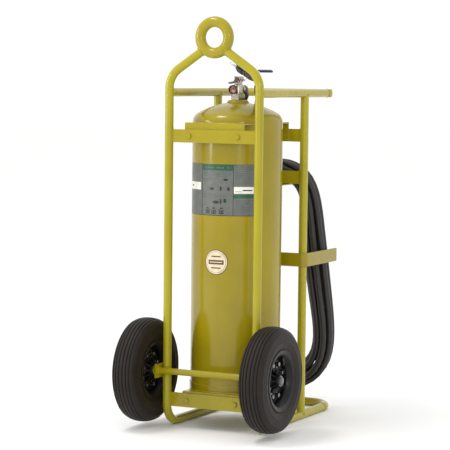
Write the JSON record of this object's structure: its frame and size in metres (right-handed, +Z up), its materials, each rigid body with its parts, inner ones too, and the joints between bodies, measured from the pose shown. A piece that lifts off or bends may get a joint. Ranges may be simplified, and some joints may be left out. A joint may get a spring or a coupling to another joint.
{
  "type": "wheeled fire extinguisher",
  "caption": "Wheeled fire extinguisher: a pressure cylinder in a tubular hand truck with lifting eye, hose rack, lever valve, gauge and stowed nozzle.",
  "frame": {"origin": "on the ground, in the middle of the footprint of wheels and base", "axes": "+Z up, -Y towards the side with the wheels and the label, +Y towards the handle and the hose rack"},
  "size_m": [0.6434, 0.9776, 1.5941],
  "materials": {
    "black_rim": "glossy black",
    "blue_grip": "matt dark blue",
    "bright_metal": "satin nickel",
    "dark_metal": "semi-gloss black",
    "gauge_lens": "clear",
    "gauge_red": "matt red",
    "hose_rubber": "satin black",
    "lime_paint": "glossy lime-yellow paint",
    "tyre_rubber": "matt black"
  },
  "bodies": {
    "truck": {"axle": "lime_paint", "axle_cap_left": "bright_metal", "axle_cap_right": "bright_metal", "axle_plate_left": "lime_paint", "axle_plate_right": "lime_paint", "base_rear_tube": "lime_paint", "bolt_front_lower_left": "lime_paint", "bolt_front_lower_right": "lime_paint", "bolt_front_upper_left": "lime_paint", "bolt_front_upper_right": "lime_paint", "bolt_rear_lower_left": "lime_paint", "bolt_rear_lower_right": "lime_paint", "bolt_rear_upper_left": "lime_paint", "bolt_rear_upper_right": "lime_paint", "cylinder_shell": "lime_paint", "foot_ring": "lime_paint", "front_lower_bracket": "lime_paint", "front_lower_crossbar": "lime_paint", "front_tube_left": "lime_paint", "front_tube_right": "lime_paint", "front_upper_bracket": "lime_paint", "front_upper_crossbar": "lime_paint", "gauge_case": "dark_metal", "gauge_dial": "gauge_red", "gauge_lens": "gauge_lens", "handle_crossbar": "lime_paint", "handle_rail_left": "lime_paint", "handle_rail_right": "lime_paint", "hose_coil": "hose_rubber", "hose_coupling": "dark_metal", "hose_hanger": "lime_paint", "hose_lead": "hose_rubber", "hose_retainer": "lime_paint", "hose_tail": "hose_rubber", "lever_pin": "bright_metal", "lifting_eye": "lime_paint", "neck_collar": "lime_paint", "nozzle_barrel": "dark_metal", "nozzle_body": "dark_metal", "nozzle_clip": "lime_paint", "rear_lower_bracket": "lime_paint", "rear_lower_crossbar": "lime_paint", "rear_upper_bracket": "lime_paint", "rear_upper_crossbar": "lime_paint", "rear_upright_left": "lime_paint", "rear_upright_right": "lime_paint", "siphon_tube": "bright_metal", "valve_body": "bright_metal"},
    "wheel_left": {"tyre_left": "tyre_rubber", "rim_left": "black_rim", "wheel_bush_left": "bright_metal"},
    "wheel_right": {"tyre_right": "tyre_rubber", "rim_right": "black_rim", "wheel_bush_right": "bright_metal"},
    "valve_lever": {"valve_lever": "dark_metal"},
    "valve_stem": {"valve_stem": "bright_metal"},
    "pull_pin": {"pull_pin": "bright_metal"},
    "pull_ring": {"pull_ring": "bright_metal"},
    "gauge_needle": {"gauge_needle": "dark_metal"},
    "nozzle_lever": {"nozzle_lever": "blue_grip"}
  },
  "joints": [
    {"name": "wheel_left_spin", "type": "hinge", "parent": "truck", "child": "wheel_left", "pos_m": [-0.2697, -0.28559, 0.2232], "axis": [1, 0, 0], "continuous": true},
    {"name": "wheel_right_spin", "type": "hinge", "parent": "truck", "child": "wheel_right", "pos_m": [0.2697, -0.28559, 0.2232], "axis": [1, 0, 0], "continuous": true},
    {"name": "valve_lever_hinge", "type": "hinge", "parent": "truck", "child": "valve_lever", "pos_m": [0, -0.04659, 1.358], "axis": [-1, 0, 0], "range_deg": [0, 90]},
    {"name": "valve_stem_slide", "type": "slide", "parent": "truck", "child": "valve_stem", "axis": [0, 0, -1], "range_m": [0, 0.005]},
    {"name": "pull_pin_slide", "type": "slide", "parent": "truck", "child": "pull_pin", "axis": [1, 0, 0], "range_m": [0, 0.04]},
    {"name": "pull_ring_swing", "type": "hinge", "parent": "pull_pin", "child": "pull_ring", "pos_m": [0.0185, -0.03409, 1.352], "axis": [0, 1, 0], "range_deg": [-30, 120]},
    {"name": "gauge_needle_hinge", "type": "hinge", "parent": "truck", "child": "gauge_needle", "pos_m": [0, -0.08809, 1.3155], "axis": [0, 1, 0], "range_deg": [-60, 60], "stiffness_Nm_per_rad": 0.0001},
    {"name": "nozzle_lever_hinge", "type": "hinge", "parent": "truck", "child": "nozzle_lever", "pos_m": [0.1203, -0.18959, 1.37], "axis": [0.3423, -0.1585, 0.9261], "range_deg": [0, 90]}
  ],
  "couplings": [
    {"joint": "valve_stem_slide", "follows": "valve_lever_hinge", "m_per_rad": 0.0031828}
  ]
}
